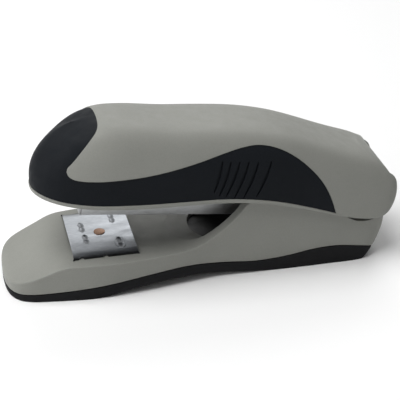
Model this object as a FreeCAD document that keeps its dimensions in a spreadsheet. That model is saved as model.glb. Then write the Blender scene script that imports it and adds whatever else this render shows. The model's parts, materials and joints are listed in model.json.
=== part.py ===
# Desktop stapler, half-strip size, for 24/6 and 26/6 staples.
#
# Frame: X runs along the stapler with the staple end at -X and the hinge at +X, Y is across,
# Z is up.  The origin is on the table, under the middle of the stapler's box.
#
# Two poses of the arms matter.  At rest the magazine is lifted clear of the anvil by rest_lift
# degrees about the hinge pin, and the cap stands press_angle degrees further open.  The steel
# of both arms is drawn in the level pose, clamped shut on the anvil and fully pressed, where
# every slot and blade lines up, and is then turned back about the pin to rest.
import FreeCAD, Part
import Sketcher
import os
import re

os.makedirs("parts", exist_ok=True)
doc = FreeCAD.newDocument("stapler")
V = FreeCAD.Vector
Y_AXIS = V(0, 1, 0)

# ---------------------------------------------------------------- driving dimensions (mm, deg)
DIMENSIONS = {
    # hinge
    "hinge_x": 59.0, "hinge_z": 29.0, "pin_dia": 5.0, "pin_half": 13.1, "fit": 0.06,
    "rest_lift": 6.9, "press_angle": 3.5,
    # base housing
    "nose_x": -71.6, "tail_x": 68.4, "deck_z": 13.8, "deck_thick": 2.0, "base_wall": 2.4,
    "well_front": -5.0, "well_rear": 64.0, "well_half": 11.4, "cheek_half": 15.7,
    # base frame
    "frame_thick": 1.5, "frame_half": 10.8, "frame_front": -50.0, "ear_thick": 1.0,
    # anvil
    "anvil_x": -36.4, "anvil_top": 15.0, "anvil_long": 22.7, "anvil_wide": 30.3,
    "anvil_thick": 1.0, "slot_from_centre": 5.9, "post_dia": 4.0, "button_dia": 12.0,
    # magazine
    "staple_wide": 12.7, "staple_tall": 6.0, "mag_half": 7.6, "mag_wall": 0.8,
    "mag_top": 26.0, "mag_front": -43.6, "strip_long": 36.0,
    # cap
    "cap_front": -60.5, "cap_wall": 2.0, "grip_deep": 1.0, "cheek_round": 12.2,
    "cap_half_rim": 18.6, "cap_half_top": 12.0, "recess_half": 13.4,
    "capframe_half": 9.2, "capframe_web": 27.4,
}
sheet = doc.addObject("Spreadsheet::Sheet", "dims")
for row, (alias, value) in enumerate(DIMENSIONS.items(), start=1):
    sheet.set("A%d" % row, alias)
    sheet.set("B%d" % row, str(value))
    sheet.setAlias("B%d" % row, alias)
doc.recompute()


def dim(alias):
    """The value of a cell of the sheet."""
    return float(getattr(sheet, alias))


def sized(expression):
    """An expression in the sheet's aliases, such as 'pin_dia / 2', as FreeCAD wants it."""

    def full_name(found):
        return "dims." + found.group() if found.group() in DIMENSIONS else found.group()

    return re.sub(r"[a-z_]+", full_name, expression)


# ---------------------------------------------------------------- placements
HINGE = V(dim("hinge_x"), 0, dim("hinge_z"))


def turned(angle):
    """A turn about the hinge pin that lifts the nose by angle degrees."""
    return FreeCAD.Placement(V(0, 0, 0), FreeCAD.Rotation(Y_AXIS, angle), HINGE)


MAGAZINE_REST = turned(dim("rest_lift"))
CAP_REST = turned(dim("rest_lift") + dim("press_angle"))
AS_DRAWN = FreeCAD.Placement()
nodes = []


def node(obj, label, placement=AS_DRAWN):
    """Name a finished sub-part and put it in its rest place."""
    if placement is not AS_DRAWN and obj.TypeId in ("Part::Box", "Part::Cylinder"):
        # a primitive's own placement is bound to the sheet, so it is turned inside a holder
        primitive, obj = obj, doc.addObject("Part::Compound", label + "_holder")
        obj.Links = [primitive]
    obj.Label = label
    if placement is not AS_DRAWN:
        obj.Placement = placement
    nodes.append(obj)
    return obj


# ---------------------------------------------------------------- Part primitives and booleans
def bind(obj, **sizes):
    for name, expression in sizes.items():
        if isinstance(expression, str):
            obj.setExpression(name.replace("__", "."), sized(expression))
        else:
            setattr(obj, name, expression)
    return obj


def box(name, x, y, z):
    """A box between (low, high) pairs of expressions."""
    obj = doc.addObject("Part::Box", name)
    for prop, axis, (low, high) in (("Length", "x", x), ("Width", "y", y), ("Height", "z", z)):
        obj.setExpression(prop, sized("(%s) - (%s)" % (high, low)))
        obj.setExpression("Placement.Base." + axis, sized(low))
    return obj


def rod(name, radius, low, high, across=False, x="0", y="0", z="0"):
    """A cylinder standing along Z from low to high, or lying across along Y."""
    obj = doc.addObject("Part::Cylinder", name)
    bind(obj, Radius=radius, Height="(%s) - (%s)" % (high, low))
    if across:
        obj.Placement = FreeCAD.Placement(V(0, 0, 0), FreeCAD.Rotation(V(1, 0, 0), -90))
        places = {"x": x, "y": low, "z": z}
    else:
        places = {"x": x, "y": y, "z": low}
    for axis, expression in places.items():
        obj.setExpression("Placement.Base." + axis, sized(expression))
    return obj


def fuse(name, *tools):
    obj = doc.addObject("Part::MultiFuse", name)
    obj.Shapes = list(tools)
    return obj


def cut(name, base, *tools):
    """Base less every tool."""
    obj = doc.addObject("Part::Cut", name)
    obj.Base = base
    obj.Tool = tools[0] if len(tools) == 1 else fuse(name + "_tools", *tools)
    return obj


# ---------------------------------------------------------------- PartDesign helpers
def new_body(name):
    return doc.addObject("PartDesign::Body", name)


def sketch_on(body, role, name):
    sketch = body.newObject("Sketcher::SketchObject", name)
    plane = next(f for f in body.Origin.OriginFeatures if f.Role == role)
    sketch.AttachmentSupport = [(plane, "")]
    sketch.MapMode = "FlatFace"
    return sketch


def fixed_point(sketch, geo, end, u, v):
    """Hold a sketch point at (u, v), two expressions in the sheet's aliases."""
    for kind, expression in (("DistanceX", u), ("DistanceY", v)):
        number = sketch.addConstraint(Sketcher.Constraint(kind, -1, 1, geo, end, 1.0))
        sketch.setExpression("Constraints[%d]" % number, sized(expression))


def outline(sketch, corners):
    """A closed outline of straight lines whose corners are driven by the sheet."""
    count = len(corners)
    numbers = [tuple(evaluate(c) for c in corner) for corner in corners]
    first = sketch.GeometryCount
    for i in range(count):
        start, end = numbers[i], numbers[(i + 1) % count]
        sketch.addGeometry(Part.LineSegment(V(*start, 0), V(*end, 0)), False)
    for i in range(count):
        sketch.addConstraint(
            Sketcher.Constraint("Coincident", first + i, 2, first + (i + 1) % count, 1)
        )
        fixed_point(sketch, first + i, 1, *corners[i])


def circle(sketch, u, v, radius):
    place = V(evaluate(u), evaluate(v), 0)
    geo = sketch.addGeometry(Part.Circle(place, V(0, 0, 1), evaluate(radius)), False)
    fixed_point(sketch, geo, 3, u, v)
    number = sketch.addConstraint(Sketcher.Constraint("Radius", geo, evaluate(radius)))
    sketch.setExpression("Constraints[%d]" % number, sized(radius))


def evaluate(expression):
    """The number that an expression in the sheet's aliases stands for."""
    holder = doc.getObject("evaluator") or doc.addObject("App::FeaturePython", "evaluator")
    return float(holder.evalExpression(sized(expression)))


def pad(body, sketch, length, name, symmetric=False, reverse=False):
    feature = body.newObject("PartDesign::Pad", name)
    feature.Profile = sketch
    feature.setExpression("Length", sized(length))
    feature.SideType = "Symmetric" if symmetric else "One side"
    feature.Reversed = reverse
    doc.recompute()
    return feature


def pocket(body, sketch, length, name, symmetric=False, reverse=False):
    before = body.Shape.Volume
    feature = body.newObject("PartDesign::Pocket", name)
    feature.Profile = sketch
    feature.setExpression("Length", sized(length))
    feature.SideType = "Symmetric" if symmetric else "One side"
    feature.Reversed = reverse
    doc.recompute()
    if body.Shape.Volume > before - 0.01:
        raise RuntimeError(name + " cuts nothing")
    return feature


# ---------------------------------------------------------------- curved outlines for the shells
def spline(points):
    curve = Part.BSplineCurve()
    curve.interpolate([V(*p) for p in points])
    return curve.toShape()


def line(start, end):
    return Part.makeLine(V(*start), V(*end))


def prism(edges, depth):
    """The solid between a flat closed outline and its copy moved by depth."""
    return Part.Face(Part.Wire(Part.sortEdges(edges)[0])).extrude(depth)


def mirrored(edge):
    return edge.mirror(V(0, 0, 0), Y_AXIS)


def feature(name, shape):
    obj = doc.addObject("Part::Feature", name)
    obj.Shape = shape.removeSplitter()
    return obj


# Half of the base's outline seen from above, nose to tail.  The nose is blunt, the deck is
# widest beside the anvil and the housing narrows to the cheeks that go up inside the cap.
BASE_PLAN = [
    (0.0, 0.0), (0.6, 8.0), (2.6, 13.4), (5.4, 16.2), (11.5, 17.8), (20.0, 18.9), (31.0, 20.1),
    (40.0, 20.0), (52.0, 19.0), (61.0, 17.8), (69.0, 16.5), (76.0, 15.8), (84.0, 15.7),
]
BASE_TAIL = [(-22.0, 15.7), (-10.0, 15.5), (-4.0, 14.7), (-1.0, 12.2), (0.0, 8.0), (0.0, 0.0)]


def base_plan(inset, low, high):
    """The base's outline from above, drawn in by inset, as a solid from low to high."""
    nose, tail = dim("nose_x") + inset, dim("tail_x") - inset
    squeeze = 1 - inset / dim("cheek_half")
    front = [(nose + x, y * squeeze, low) for x, y in BASE_PLAN]
    back = [(tail + x, y * squeeze, low) for x, y in BASE_TAIL]
    half = [spline(front), line(front[-1], back[0]), spline(back)]
    return prism(half + [mirrored(e) for e in half], V(0, 0, high - low))


# The base from the side: the foot of the nose, the ramp, the deck, then the cheek that climbs
# into the cap and runs back under its rim.
NOSE_FACE = [(0.0, 2.4), (0.2, 4.2), (1.6, 6.2), (4.4, 7.4), (9.6, 9.2), (14.6, 11.4), (19.6, 13.6)]
CHEEK_RISE = [(-14.0, 13.8), (-8.0, 13.9), (-3.0, 14.4), (3.7, 18.0), (8.2, 22.1), (12.2, 26.4),
              (15.0, 31.4)]
HEEL = [(0.0, 15.0), (-0.9, 9.5), (-3.4, 5.0), (-7.0, 1.9), (-13.5, 0.0)]
SOLE_TOP = [(-73.0, 2.2), (-67.0, 2.4), (-53.0, 3.2), (-38.0, 4.8), (-25.0, 6.4), (-8.0, 7.2),
            (8.0, 5.6), (18.0, 4.6), (28.0, 5.2), (41.0, 7.2), (49.0, 7.2), (58.0, 5.8),
            (70.0, 3.0)]
ARCH = [(-38.0, 0.0), (-30.0, 1.6), (-17.0, 2.8), (-4.0, 2.7), (9.0, 1.2), (20.0, 0.0)]
REACH = 25.0


def side_prism(edges):
    """A side outline in the plane Y = -REACH, made solid right across the stapler."""
    return prism(edges, V(0, 2 * REACH, 0))


def at_side(points, x=0.0):
    return [(x + px, -REACH, pz) for px, pz in points]


def base_side():
    nose = at_side(NOSE_FACE, dim("nose_x"))
    deck_front = (nose[-1][0] + 1.5, -REACH, dim("deck_z"))
    rise = at_side(CHEEK_RISE)
    heel = at_side(HEEL, dim("tail_x"))
    cheek_back = (46.0, -REACH, 23.4)
    tail_top = (dim("tail_x"), -REACH, 20.4)
    pads = at_side(ARCH)
    toe = (dim("nose_x") + 1.6, -REACH, 0.0)
    return side_prism([
        spline(nose), line(nose[-1], deck_front), line(deck_front, rise[0]), spline(rise),
        line(rise[-1], cheek_back), line(cheek_back, tail_top), line(tail_top, heel[0]),
        spline(heel), line(heel[-1], pads[-1]), spline(pads), line(pads[0], toe),
        line(toe, nose[0]),
    ])


def below_sole_top(drop=0.0):
    """Everything under the wavy line where the grey housing meets the black sole."""
    top = at_side([(x, z - drop) for x, z in SOLE_TOP])
    low = [(top[0][0], -REACH, -5.0), (top[-1][0], -REACH, -5.0)]
    return side_prism([spline(top), line(top[-1], low[1]), line(low[1], low[0]),
                       line(low[0], top[0])])


def block(x, y, z):
    """A plain box between (low, high) pairs of numbers."""
    return Part.makeBox(x[1] - x[0], y[1] - y[0], z[1] - z[0], V(x[0], y[0], z[0]))


def both_sides(shape):
    return [shape, mirrored(shape)]


def disc_across(radius, low, high):
    """A disc about the hinge pin between two distances across."""
    return Part.makeCylinder(radius, high - low, V(HINGE.x, low, HINGE.z), Y_AXIS)


EAR_IN, EAR_OUT, EAR_ROUND = 10.9, 13.2, 8.0
DECK_UNDER = dim("deck_z") - dim("deck_thick")
FRAME_LOW = DECK_UNDER - dim("frame_thick")
SCREWS = [(-47.0, 7.0), (-47.0, -7.0), (20.0, 6.5), (20.0, -6.5)]
SCREW_R, COLUMN_R, HEAD_R, HEAD_TALL = 1.3, 3.0, 2.4, 1.2


def hinge_ear(low, high, radius, foot):
    """A plate that stands from the base and carries the hinge pin."""
    lean = 5.0
    edges = [
        line((HINGE.x - radius - lean, low, foot), (HINGE.x - radius, low, HINGE.z)),
        Part.Arc(V(HINGE.x - radius, low, HINGE.z), V(HINGE.x, low, HINGE.z + radius),
                 V(HINGE.x + radius, low, HINGE.z)).toShape(),
        line((HINGE.x + radius, low, HINGE.z), (HINGE.x + 2.0, low, foot)),
        line((HINGE.x + 2.0, low, foot), (HINGE.x - radius - lean, low, foot)),
    ]
    return prism(edges, V(0, high - low, 0))


def make_base_shell():
    deck, under = dim("deck_z"), dim("deck_z") - dim("deck_thick")
    well = dim("well_half")
    shell = base_plan(0.0, 0.0, 34.0).common(base_side()).cut(below_sole_top())
    hollows = [
        base_plan(dim("base_wall"), -1.0, under).common(block((-66, 66), (-25, 25), (-1, 12))),
        block((-20, 80), (-dim("cheek_half") + 3.1, dim("cheek_half") - 3.1), (deck, 40)),
        block((dim("well_front"), dim("well_rear")), (-well, well), (under - 1, 40)),
    ]
    hollows += both_sides(disc_across(dim("cheek_round") + 0.5, 13.3, 20.0))
    hollows.append(disc_across(dim("cheek_round") - 0.6, -13.4, 13.4))
    shell = shell.cut(Part.makeCompound(hollows))
    ear = hinge_ear(EAR_IN, EAR_OUT, EAR_ROUND, under)
    shell = shell.fuse(both_sides(ear))
    # the ramp slopes through the hollow's flat top, so its own roof is put back
    wedge = at_side([(-75.0, 2.0), (-75.0, 20.0), (-51.0, 20.0), (-51.0, DECK_UNDER), (-69.0, 4.5)])
    ramp = side_prism([line(p, q) for p, q in zip(wedge, wedge[1:] + wedge[:1])])
    roof = base_plan(0.0, 0.0, 34.0).common(base_side()).cut(below_sole_top()).common(ramp)
    shell = shell.fuse(roof)
    pin_hole = disc_across(dim("pin_dia") / 2 + dim("fit"), -20, 20)
    post_hole = Part.makeCylinder(dim("post_dia") / 2 + 0.3, 30, V(dim("anvil_x"), 0, 0))
    return shell.cut([pin_hole, post_hole])


def make_base_sole():
    sole = base_plan(0.0, -1.0, 15.0).common(base_side()).common(below_sole_top())
    floor = base_plan(dim("base_wall"), 5.0, 15.0)
    pads = [base_plan(dim("base_wall"), 2.2, 15.0).common(block(x, (-25, 25), (0, 20)))
            for x in ((-64, -40), (22, 60))]
    sole = sole.cut([floor] + pads)
    columns = [Part.makeCylinder(COLUMN_R, FRAME_LOW - 3.0, V(x, y, 3.0)) for x, y in SCREWS]
    columns += [Part.makeCylinder(COLUMN_R, 3.2, V(x, y, 1.0)) for x, y in SCREWS if x < 0]
    sole = sole.fuse(columns)
    holes = [Part.makeCylinder(SCREW_R + 0.05, 20, V(x, y, -1)) for x, y in SCREWS]
    holes += [Part.makeCylinder(HEAD_R + 0.2, 1 + HEAD_TALL + 0.3, V(x, y, -1)) for x, y in SCREWS]
    holes.append(Part.makeCylinder(dim("button_dia") / 2 + 0.5, 20, V(dim("anvil_x"), 0, -1)))
    return sole.cut(holes)


node(feature("base_shell_form", make_base_shell()), "base_shell")
node(feature("base_sole_form", make_base_sole()), "base_sole")


# ---------------------------------------------------------------- pressed steel channels
def ear_corners(front, high, low, rear=44.0):
    """The corners of a channel seen from the side: a long wall that ends round the hinge pin."""
    around = [(-3.0, -6.5), (4.0, -5.5), (6.5, -2.0), (6.5, 2.0), (3.5, 5.5), (-3.5, 5.5)]
    pin = [("hinge_x + (%s)" % u, "hinge_z + (%s)" % v) for u, v in around]
    return [(front, low), (str(rear), low)] + pin + [("hinge_x - 9", high), (front, high)]


def pressed_channel(name, corners, half, wall, hollow, holes=(), slots=()):
    """A U of sheet steel: a side outline as wide as the channel, with its inside taken out.

    holes are (x, y, radius) and slots are corner lists, both cut straight down through it.
    """
    body = new_body(name)
    side = sketch_on(body, "XZ_Plane", name + "_side")
    outline(side, corners)
    pad(body, side, "2 * (%s)" % half, name + "_wide", symmetric=True)
    inside = sketch_on(body, "XZ_Plane", name + "_inside")
    outline(inside, hollow)
    pocket(body, inside, "2 * ((%s) - (%s))" % (half, wall), name + "_hollow", symmetric=True)
    pin = sketch_on(body, "XZ_Plane", name + "_pin")
    circle(pin, "hinge_x", "hinge_z", "pin_dia / 2 + fit")
    pocket(body, pin, "60", name + "_pin_hole", symmetric=True)
    if holes or slots:
        down = sketch_on(body, "XY_Plane", name + "_down")
        for x, y, radius in holes:
            circle(down, x, y, radius)
        for corners in slots:
            outline(down, corners)
        pocket(body, down, "200", name + "_holes", symmetric=True)
    return body


def make_base_frame():
    top, low = "deck_z - deck_thick", "deck_z - deck_thick - frame_thick"
    corners = [
        ("frame_front", low), ("well_rear - 0.5", low), ("well_rear + 1", "hinge_z"),
        ("hinge_x + 4", "hinge_z + 6"), ("hinge_x - 4", "hinge_z + 6"),
        ("hinge_x - 8", "hinge_z"), ("hinge_x - 13", top), ("frame_front", top),
    ]
    hollow = [("frame_front - 1", top), ("80", top), ("80", "60"), ("frame_front - 1", "60")]
    holes = [(str(x), str(y), str(SCREW_R)) for x, y in SCREWS]
    holes.append(("anvil_x", "0.0", "post_dia / 2 + fit"))
    holes.append((str(LIFT_RIVET_X), "0.0", str(RIVET_R)))
    return pressed_channel("base_frame_body", corners, "frame_half", "ear_thick", hollow, holes)


def leaf(points, thick, half):
    """A strip of spring steel, 2 * half wide: flat to its second point (x, z), then curved."""
    edges, ends = [], []
    for offset in (-thick / 2, thick / 2):
        places = [V(x, -half, z + offset) for x, z in points]
        bent = Part.BSplineCurve()
        bent.interpolate(Points=places[1:], InitialTangent=V(-1, 0, 0), FinalTangent=V(-1, 0, 0))
        edges += [Part.makeLine(places[0], places[1]), bent.toShape()]
        ends.append((places[0], places[-1]))
    edges += [Part.makeLine(ends[0][i], ends[1][i]) for i in (0, 1)]
    return prism(edges, V(0, 2 * half, 0))


def rivet(x, head_low, head_high, tail_low, radius, head_radius, y=0.0):
    shaft = Part.makeCylinder(radius, head_low - tail_low, V(x, y, tail_low))
    head = Part.makeCylinder(head_radius, head_high - head_low, V(x, y, head_low))
    return shaft.fuse(head)


def make_screw(x, y, seat, length, head_up):
    """A pan-head screw whose head sits on seat; the shank points the other way."""
    way = -1.0 if head_up else 1.0
    shank = Part.makeCylinder(SCREW_R, length, V(x, y, seat), V(0, 0, way))
    head = Part.makeCylinder(HEAD_R, HEAD_TALL, V(x, y, seat), V(0, 0, -way))
    slot = block((x - 0.3, x + 0.3), (y - 3, y + 3), sorted((seat - way * 0.7, seat - way * 2)))
    return shank.fuse(head).cut(slot)


LIFT_RIVET_X, RIVET_R, RIVET_HEAD = 40.0, 1.4, 2.4
SPRING_THICK = 0.6

node(make_base_frame(), "base_frame")

pin = rod("hinge_pin_rod", "pin_dia / 2", "-pin_half", "pin_half", True, "hinge_x", z="hinge_z")
node(pin, "hinge_pin")
spacer = cut(
    "hinge_spacer_tube",
    rod("spacer_out", "pin_dia / 2 + 1.5", "0.3 - mag_half + mag_wall", "mag_half - mag_wall - 0.3",
        True, "hinge_x", z="hinge_z"),
    rod("spacer_in", "pin_dia / 2 + fit", "-20", "20", True, "hinge_x", z="hinge_z"),
)
node(spacer, "hinge_spacer")
for side, low, high in (("near", "-mag_half - 0.5", "-mag_half - 0.1"),
                        ("far", "mag_half + 0.1", "mag_half + 0.5")):
    washer = cut(
        "washer_" + side,
        rod("washer_out_" + side, "pin_dia / 2 + 2", low, high, True, "hinge_x", z="hinge_z"),
        rod("washer_in_" + side, "pin_dia / 2 + fit", "-20", "20", True, "hinge_x", z="hinge_z"),
    )
    node(washer, "hinge_washer_" + side)

LIFT_LEAF = [(45.0, 12.1), (35.0, 12.1), (27.0, 13.6), (16.0, 17.8), (6.0, 20.6)]
lift_leaf = leaf(LIFT_LEAF, SPRING_THICK, 4.5)
hole = Part.makeCylinder(RIVET_R, 9, V(LIFT_RIVET_X, 0, 8))
node(feature("lift_spring_leaf", lift_leaf.cut(hole)), "lift_spring")
leaf_top = DECK_UNDER + SPRING_THICK
node(feature("lift_rivet_form", rivet(LIFT_RIVET_X, leaf_top, leaf_top + 0.8, FRAME_LOW - 0.5,
                                      RIVET_R, RIVET_HEAD)), "lift_spring_rivet")
for i, (x, y) in enumerate(SCREWS, start=1):
    form = make_screw(x, y, 0.3 + HEAD_TALL, FRAME_LOW + 1.0 - HEAD_TALL, head_up=False)
    node(feature("base_screw_form_%d" % i, form), "base_screw_%d" % i)


# ---------------------------------------------------------------- anvil and its lifting button
def make_anvil_plate():
    body = new_body("anvil_body")
    half_long, half_wide = "anvil_long / 2", "anvil_wide / 2"
    rectangle = [("anvil_x - " + half_long, "-" + half_wide), ("anvil_x + " + half_long, "-" + half_wide),
                 ("anvil_x + " + half_long, half_wide), ("anvil_x - " + half_long, half_wide)]
    face = sketch_on(body, "XY_Plane", "anvil_face")
    face.AttachmentOffset = FreeCAD.Placement(V(0, 0, dim("anvil_top")), FreeCAD.Rotation())
    outline(face, rectangle)
    pad(body, face, "anvil_thick", "anvil_plate_pad", reverse=True)
    # the clinch pair at the front closes legs inwards, the pinning pair at the rear outwards
    grooves = sketch_on(body, "XY_Plane", "anvil_grooves")
    grooves.AttachmentOffset = face.AttachmentOffset
    for x_sign, y_low, y_high in (("-", 0.9, 7.4), ("+", 4.6, 11.1)):
        for sign in (-1, 1):
            near, far = sorted((sign * y_low, sign * y_high))
            front = "anvil_x %s slot_from_centre - 0.8" % x_sign
            back = "anvil_x %s slot_from_centre + 0.8" % x_sign
            outline(grooves, [(front, str(near)), (back, str(near)), (back, str(far)),
                              (front, str(far))])
    pocket(body, grooves, "0.6", "anvil_groove_cut")
    hub = sketch_on(body, "XY_Plane", "anvil_hub")
    hub.AttachmentOffset = face.AttachmentOffset
    circle(hub, "anvil_x", "0.0", "1.85")
    pocket(body, hub, "0.45", "anvil_hub_seat")
    bore = sketch_on(body, "XY_Plane", "anvil_bore")
    circle(bore, "anvil_x", "0.0", "1.25")
    pocket(body, bore, "60", "anvil_bore_cut", symmetric=True)
    edges, flat = [], body.Tip
    for number, edge in enumerate(flat.Shape.Edges, start=1):
        box_ = edge.BoundBox
        on_side = abs(abs(box_.Center.y) - dim("anvil_wide") / 2) < 0.01 and box_.YLength < 0.01
        if on_side and abs(box_.Center.z - dim("anvil_top")) < 0.01 and box_.XLength > 5:
            edges.append("Edge%d" % number)
    rolled = body.newObject("PartDesign::Fillet", "anvil_rolled_edges")
    rolled.Base = (flat, edges)
    rolled.Radius = 0.8
    body.Tip = rolled
    doc.recompute()
    return body


BUTTON_LOW, BUTTON_HIGH = 0.9, 4.0
node(make_anvil_plate(), "anvil_plate")
anvil_x, seat = dim("anvil_x"), dim("anvil_top") - 0.45
tenon = rivet(anvil_x, seat, dim("anvil_top"), dim("anvil_top") - 1.1, 1.2, 1.75)
node(feature("anvil_rivet_form", tenon), "anvil_rivet")
post = rod("anvil_post_rod", "post_dia / 2", str(BUTTON_HIGH), "anvil_top - 1.1", x="anvil_x")
node(post, "anvil_post")
button = cut(
    "anvil_button_disc",
    rod("button_disc", "button_dia / 2", str(BUTTON_LOW), str(BUTTON_HIGH), x="anvil_x"),
    rod("button_dish", "button_dia / 2 - 1.5", str(BUTTON_LOW - 1), str(BUTTON_LOW + 0.5),
        x="anvil_x"),
)
node(button, "anvil_button")
coil = cut(
    "anvil_spring_tube",
    rod("anvil_coil_out", "post_dia / 2 + 1.6", str(BUTTON_HIGH + 0.05),
        "deck_z - deck_thick - frame_thick - 0.05", x="anvil_x"),
    rod("anvil_coil_in", "post_dia / 2 + 0.6", "0", "20", x="anvil_x"),
)
node(coil, "anvil_spring")


# ---------------------------------------------------------------- magazine, in the level pose
FLOOR = "anvil_top + mag_wall"
RAIL_FRONT, SLOT_REAR, RAIL_HALF, RAIL_TALL = "mag_front + 2.4", "mag_front + 2.3", 5.7, 5.1


def make_magazine_channel():
    front = "mag_front + 0.8"
    corners = ear_corners(front, "mag_top", "anvil_top", 44)
    hollow = [("-80", FLOOR), ("90", FLOOR), ("90", "60"), ("-80", "60")]
    clear = "mag_half - mag_wall"
    slot = [("-80", "-(%s)" % clear), (SLOT_REAR, "-(%s)" % clear), (SLOT_REAR, clear),
            ("-80", clear)]
    return pressed_channel("magazine_body", corners, "mag_half", "mag_wall", hollow,
                           slots=[slot])


node(make_magazine_channel(), "magazine_channel", MAGAZINE_REST)
face = box("magazine_face_plate", ("mag_front", "mag_front + 0.8"), ("-mag_half", "mag_half"),
           ("anvil_top", "mag_top"))
node(face, "magazine_face", MAGAZINE_REST)
rail = cut(
    "staple_rail_u",
    box("rail_out", (RAIL_FRONT, "36"), (str(-RAIL_HALF), str(RAIL_HALF)),
        (FLOOR, "%s + %s" % (FLOOR, RAIL_TALL))),
    box("rail_in", ("-90", "90"), (str(0.8 - RAIL_HALF), str(RAIL_HALF - 0.8)),
        ("0", "%s + %s" % (FLOOR, RAIL_TALL - 0.8))),
)
node(rail, "staple_rail", MAGAZINE_REST)
strip = cut(
    "staple_strip_u",
    box("strip_out", (RAIL_FRONT, "%s + strip_long" % RAIL_FRONT),
        ("-staple_wide / 2", "staple_wide / 2"), (FLOOR, "%s + staple_tall" % FLOOR)),
    box("strip_in", ("-90", "90"), ("0.5 - staple_wide / 2", "staple_wide / 2 - 0.5"),
        ("0", "%s + staple_tall - 0.5" % FLOOR)),
)
node(strip, "staple_strip", MAGAZINE_REST)

ROD_Z = "anvil_top + 8.4"
PUSHER_LONG = 11.0
PUSHER_FRONT = "%s + strip_long + 0.1" % RAIL_FRONT
PUSHER_REAR = "%s + %s" % (PUSHER_FRONT, PUSHER_LONG)
pusher = cut(
    "pusher_block",
    box("pusher_out", (PUSHER_FRONT, PUSHER_REAR), ("-6.4", "6.4"),
        (FLOOR + " + 0.3", FLOOR + " + 9.5")),
    box("pusher_saddle", ("-90", "90"), (str(-RAIL_HALF - 0.15), str(RAIL_HALF + 0.15)),
        ("0", "%s + %s" % (FLOOR, RAIL_TALL + 0.15))),
    bind(rod("pusher_bore", "1.3", "0", "150"), Placement__Base__x="-80",
         Placement__Base__z=ROD_Z),
)
doc.getObject("pusher_bore").Placement.Rotation = FreeCAD.Rotation(Y_AXIS, 90)
node(pusher, "pusher", MAGAZINE_REST)
BRACKET = ("41.0", "42.2")


def along(name, radius, low, high):
    """A cylinder lying along the magazine at the height of the guide rod."""
    obj = doc.addObject("Part::Cylinder", name)
    bind(obj, Radius=radius, Height="(%s) - (%s)" % (high, low))
    obj.Placement = FreeCAD.Placement(V(0, 0, 0), FreeCAD.Rotation(Y_AXIS, 90))
    bind(obj, Placement__Base__x=low, Placement__Base__z=ROD_Z)
    return obj


node(along("rod_form", "1.2", PUSHER_FRONT + " - 4", BRACKET[0]), "pusher_rod", MAGAZINE_REST)
bracket = box("bracket_plate", BRACKET, ("-mag_half + mag_wall", "mag_half - mag_wall"),
              (FLOOR, "mag_top - 0.6"))
node(bracket, "rod_bracket", MAGAZINE_REST)
coil = cut(
    "pusher_spring_tube",
    along("pusher_coil_out", "2.0", PUSHER_REAR + " + 0.05", BRACKET[0] + " - 0.05"),
    along("pusher_coil_in", "1.4", "-20", "60"),
)
node(coil, "pusher_spring", MAGAZINE_REST)


# ---------------------------------------------------------------- cap steel, in the level pose
WEB_HIGH = "capframe_web + 1.2"
BLADE = ("mag_front + 1.7", "mag_front + 2.2")
CAP_SCREWS = [-20.0, 16.0]
CAP_RIVET_X = 37.0
BLADE_RIVETS = [-38.5, -34.5]


def make_cap_frame():
    front = "mag_front + 2.2"
    corners = ear_corners(front, WEB_HIGH, "mag_top - 5", 47)
    hollow = [("-80", "0"), ("90", "0"), ("90", "60"), ("hinge_x - 9.5", "60"),
              ("hinge_x - 9.5", "capframe_web"), ("-80", "capframe_web")]
    holes = [(str(x), "0.0", str(SCREW_R)) for x in CAP_SCREWS]
    holes += [(str(x), "0.0", str(RIVET_R)) for x in BLADE_RIVETS + [CAP_RIVET_X]]
    return pressed_channel("cap_frame_body", corners, "capframe_half", "ear_thick", hollow, holes)


def make_driver_blade():
    front, back = evaluate(BLADE[0]), evaluate(BLADE[1])
    top = evaluate(WEB_HIGH)
    half = dim("staple_wide") / 2
    blade = block((front, back), (-half, half), (dim("anvil_top") + 0.7, top + 0.5))
    flange = block((front, BLADE_RIVETS[-1] + 3), (-half, half), (top, top + 0.5))
    holes = [Part.makeCylinder(RIVET_R, 40, V(x, 0, 0)) for x in BLADE_RIVETS]
    return blade.fuse(flange).cut(holes)


node(make_cap_frame(), "cap_frame", CAP_REST)
web_low, web_high = dim("capframe_web"), evaluate(WEB_HIGH)
node(feature("driver_blade_form", make_driver_blade()), "driver_blade", CAP_REST)
for i, x in enumerate(BLADE_RIVETS, start=1):
    form = rivet(x, web_high + 0.5, web_high + 1.3, web_low - 0.4, RIVET_R, RIVET_HEAD - 0.5)
    node(feature("driver_rivet_form_%d" % i, form), "driver_rivet_%d" % i, CAP_REST)
CAP_LEAF = [(42.0, 27.1), (33.0, 27.1), (22.0, 25.9), (9.0, 23.6), (0.0, 23.0)]
cap_leaf = leaf(CAP_LEAF, SPRING_THICK, 7.2).cut(Part.makeCylinder(RIVET_R, 40, V(CAP_RIVET_X, 0, 0)))
node(feature("cap_spring_leaf", cap_leaf), "cap_spring", CAP_REST)
form = rivet(CAP_RIVET_X, web_high, web_high + 0.8, web_low - 1.0, RIVET_R, RIVET_HEAD)
node(feature("cap_rivet_form", form), "cap_spring_rivet", CAP_REST)
SCREW_LONG = 11.0
for i, x in enumerate(CAP_SCREWS, start=1):
    form = make_screw(x, 0.0, web_low, SCREW_LONG, head_up=False)
    node(feature("cap_screw_form_%d" % i, form), "cap_screw_%d" % i, CAP_REST)


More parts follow.
